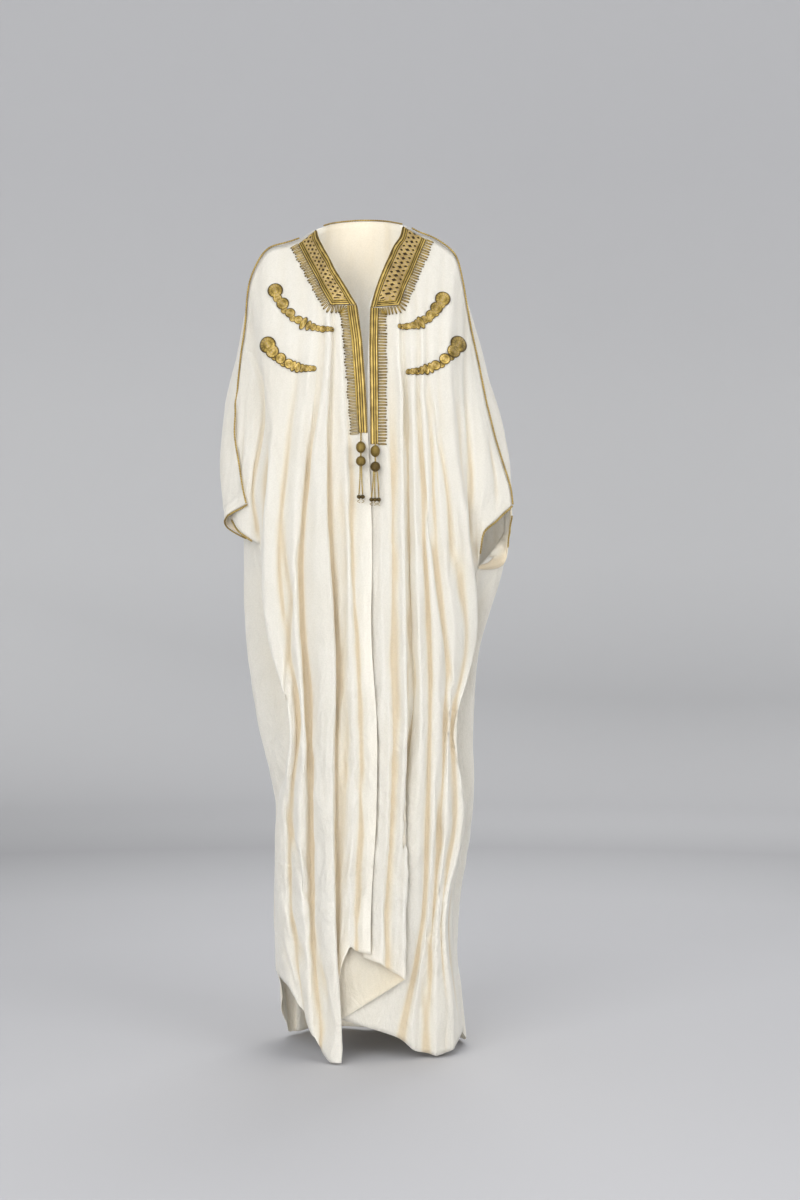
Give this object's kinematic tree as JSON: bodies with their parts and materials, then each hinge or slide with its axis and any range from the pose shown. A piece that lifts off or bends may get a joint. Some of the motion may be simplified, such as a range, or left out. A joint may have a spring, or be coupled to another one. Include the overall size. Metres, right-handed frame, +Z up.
{
  "type": "kaftan",
  "caption": "Long open-fronted kaftan of cream cloth, hanging hollow as worn, with gold neck bands, curved chains of discs, corded seams and tassels.",
  "frame": {"origin": "midway between the shoulders, at the level where the kaftan hangs from its wearer", "axes": "+X to the wearer's left, -Y to the front, +Z up"},
  "size_m": [0.5434, 0.3684, 1.548],
  "materials": {
    "cream_cloth": "matt plain weave",
    "gold_braid": "metallic thread embroidery",
    "gold_cord": "twisted metallic cord",
    "dark_gold_thread": "wound metallic thread"
  },
  "bodies": {
    "root": {"back_panel": "cream_cloth", "front_left_panel": "cream_cloth", "front_right_panel": "cream_cloth", "neck_band_left": "gold_braid", "neck_band_right": "gold_braid", "placket_left": "gold_braid", "placket_right": "gold_braid", "upper_chain_left": "gold_braid", "upper_chain_right": "gold_braid", "lower_chain_left": "gold_braid", "lower_chain_right": "gold_braid", "neck_cord": "gold_cord", "seam_cord_left": "gold_cord", "seam_cord_right": "gold_cord", "cuff_cord_left_back": "gold_cord", "cuff_cord_left_front": "gold_cord", "cuff_cord_right_back": "gold_cord", "cuff_cord_right_front": "gold_cord", "tassel_left": "dark_gold_thread", "tassel_right": "dark_gold_thread"}
  },
  "joints": []
}
